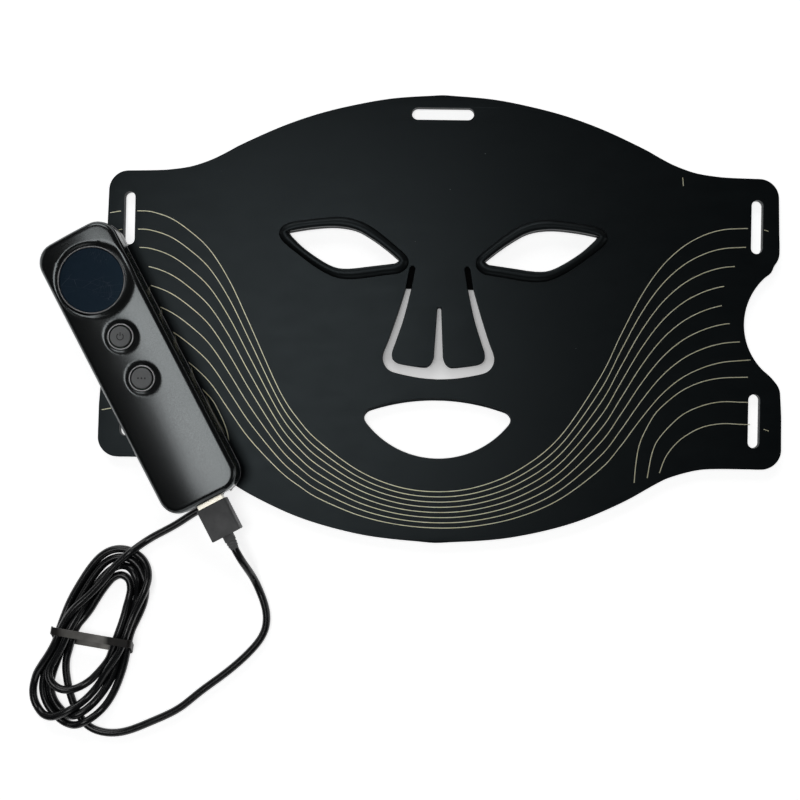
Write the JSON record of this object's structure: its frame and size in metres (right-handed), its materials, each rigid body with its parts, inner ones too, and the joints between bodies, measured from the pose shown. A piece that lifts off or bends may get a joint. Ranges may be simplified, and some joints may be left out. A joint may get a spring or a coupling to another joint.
{
  "type": "led face mask",
  "caption": "Flat flexible face mask with lamps on its back, strap slots, framed eye openings, a split nose flap and a corded hand controller with a round display.",
  "frame": {"origin": "centre of the mask's outline on its back face, the side that lies on the table and on the wearer's face", "axes": "+X across the mask to the side without the controller, +Y to the forehead, +Z out of the front face"},
  "size_m": [0.3359, 0.2929, 0.021],
  "materials": {
    "panel_silicone": "matt silicone with a faint cool tint and fine dust",
    "back_silicone": "matt silicone",
    "rim_silicone": "satin silicone bead",
    "flex_board": "amber polyimide film",
    "lamp_chip": "phosphor-topped lamp package",
    "clear_silicone": "clear cast silicone",
    "cord_jacket": "satin black jacket",
    "tie_strap": "flat woven-look strap",
    "plug_overmould": "fine spark texture",
    "plated_steel": "plated sheet",
    "insulator": "white moulding",
    "contact_gold": "gold plated",
    "shell_matt": "matt metallic-look moulding",
    "shell_gloss": "polished black moulding",
    "bright_trim": "bright thin trim",
    "display_lens": "dark navy window under a scuffed protective film",
    "black_component": "black component body",
    "rigid_board": "green solder mask",
    "battery_can": "foil pouch",
    "screw_steel": "small pan-head screw",
    "button_plastic": "satin grey cap"
  },
  "bodies": {
    "mask": {"front_skin": "panel_silicone", "back_skin": "back_silicone", "eye_rim_left": "rim_silicone", "eye_rim_right": "rim_silicone", "led_board_forehead": "flex_board", "led_board_left_cheek": "flex_board", "led_board_right_cheek": "flex_board", "led_board_chin": "flex_board", "led_chips_upper": "lamp_chip", "led_chips_cheeks": "lamp_chip", "led_chips_chin": "lamp_chip", "led_windows_upper": "clear_silicone", "led_windows_cheeks": "clear_silicone", "led_windows_chin": "clear_silicone", "bus_ribbon": "flex_board", "cable_gland": "back_silicone", "cord_lead": "cord_jacket", "cord_tail": "cord_jacket", "cord_hank": "cord_jacket", "cord_tie": "tie_strap", "plug_shell": "plated_steel", "plug_tongue": "insulator", "plug_contacts": "contact_gold", "plug_body": "plug_overmould", "plug_strain_relief": "plug_overmould"},
    "left_wing": {"front_skin_left_wing": "panel_silicone", "back_skin_left_wing": "back_silicone", "led_board_left_wing": "flex_board", "led_chips_left_wing": "lamp_chip", "led_windows_left_wing": "clear_silicone"},
    "right_wing": {"front_skin_right_wing": "panel_silicone", "back_skin_right_wing": "back_silicone", "led_board_right_wing": "flex_board", "led_chips_right_wing": "lamp_chip", "led_windows_right_wing": "clear_silicone"},
    "nose_flap": {"nose_flap_front": "panel_silicone", "nose_flap_back": "back_silicone", "led_board_nose": "flex_board", "led_chips_nose": "lamp_chip", "led_windows_nose": "clear_silicone"},
    "controller": {"controller_top_shell": "shell_matt", "controller_bottom_shell": "shell_gloss", "seam_trim": "bright_trim", "display_bezel": "bright_trim", "display_window": "display_lens", "display_module": "black_component", "controller_board": "rigid_board", "battery": "battery_can", "usb_socket_shell": "plated_steel", "usb_socket_tongue": "insulator", "usb_socket_contacts": "contact_gold", "charge_port": "plated_steel", "tact_switches": "black_component", "button_rings": "bright_trim", "shell_screws": "screw_steel"},
    "power_button": {"power_button": "button_plastic"},
    "mode_button": {"mode_button": "button_plastic"}
  },
  "joints": [
    {"name": "left_wing_fold", "type": "hinge", "parent": "mask", "child": "left_wing", "pos_m": [-0.101, 0, 0], "axis": [0, -1, 0], "range_deg": [0, 70], "stiffness_Nm_per_rad": 0.05},
    {"name": "right_wing_fold", "type": "hinge", "parent": "mask", "child": "right_wing", "pos_m": [0.101, 0, 0], "axis": [0, 1, 0], "range_deg": [0, 70], "stiffness_Nm_per_rad": 0.05},
    {"name": "nose_flap_lift", "type": "hinge", "parent": "mask", "child": "nose_flap", "pos_m": [0, 0.0134, 0.0036], "axis": [-1, 0, 0], "range_deg": [0, 45], "stiffness_Nm_per_rad": 0.01},
    {"name": "controller_unplug", "type": "slide", "parent": "mask", "child": "controller", "axis": [-0.4787, 0.878, 0], "range_m": [0, 0.018]},
    {"name": "power_press", "type": "slide", "parent": "controller", "child": "power_button", "axis": [0, 0, -1], "range_m": [0, 0.0006], "stiffness_N_per_m": 3000},
    {"name": "mode_press", "type": "slide", "parent": "controller", "child": "mode_button", "axis": [0, 0, -1], "range_m": [0, 0.0006], "stiffness_N_per_m": 3000}
  ]
}
